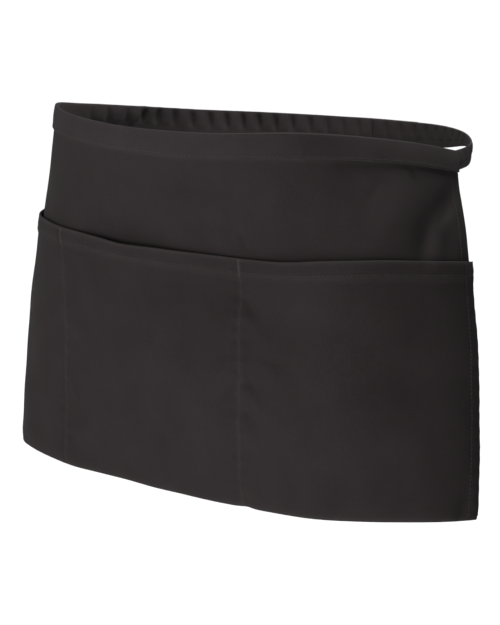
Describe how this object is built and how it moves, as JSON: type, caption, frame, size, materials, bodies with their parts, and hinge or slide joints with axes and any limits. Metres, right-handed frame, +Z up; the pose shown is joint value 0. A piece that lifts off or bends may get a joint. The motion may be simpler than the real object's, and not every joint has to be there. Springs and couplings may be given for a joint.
{
  "type": "waist apron",
  "caption": "Short waist apron in black twill with a row of patch pockets, a bound waistband and gathered ties, keeping the form it takes round a waist",
  "frame": {"origin": "the mount waist: the middle of the waist opening, at half the waistband's height at the middle of the front", "axes": "+X is the wearer's left, -Y is the way the wearer faces, +Z is up"},
  "size_m": [0.5011, 0.3609, 0.3137],
  "materials": {
    "body_panel": "matte black twill",
    "pocket_panel": "matte black twill",
    "pocket_hem": "matte black twill",
    "side_hem_right": "matte black twill",
    "side_hem_left": "matte black twill",
    "waistband": "matte black binding",
    "tie_left": "matte black binding",
    "tie_right": "matte black binding",
    "tie_knot": "matte black binding"
  },
  "bodies": {
    "root": {"body_panel": "body_panel", "pocket_panel": "pocket_panel", "pocket_hem": "pocket_hem", "side_hem_right": "side_hem_right", "side_hem_left": "side_hem_left", "waistband": "waistband", "tie_left": "tie_left", "tie_right": "tie_right", "tie_knot": "tie_knot"}
  },
  "joints": []
}
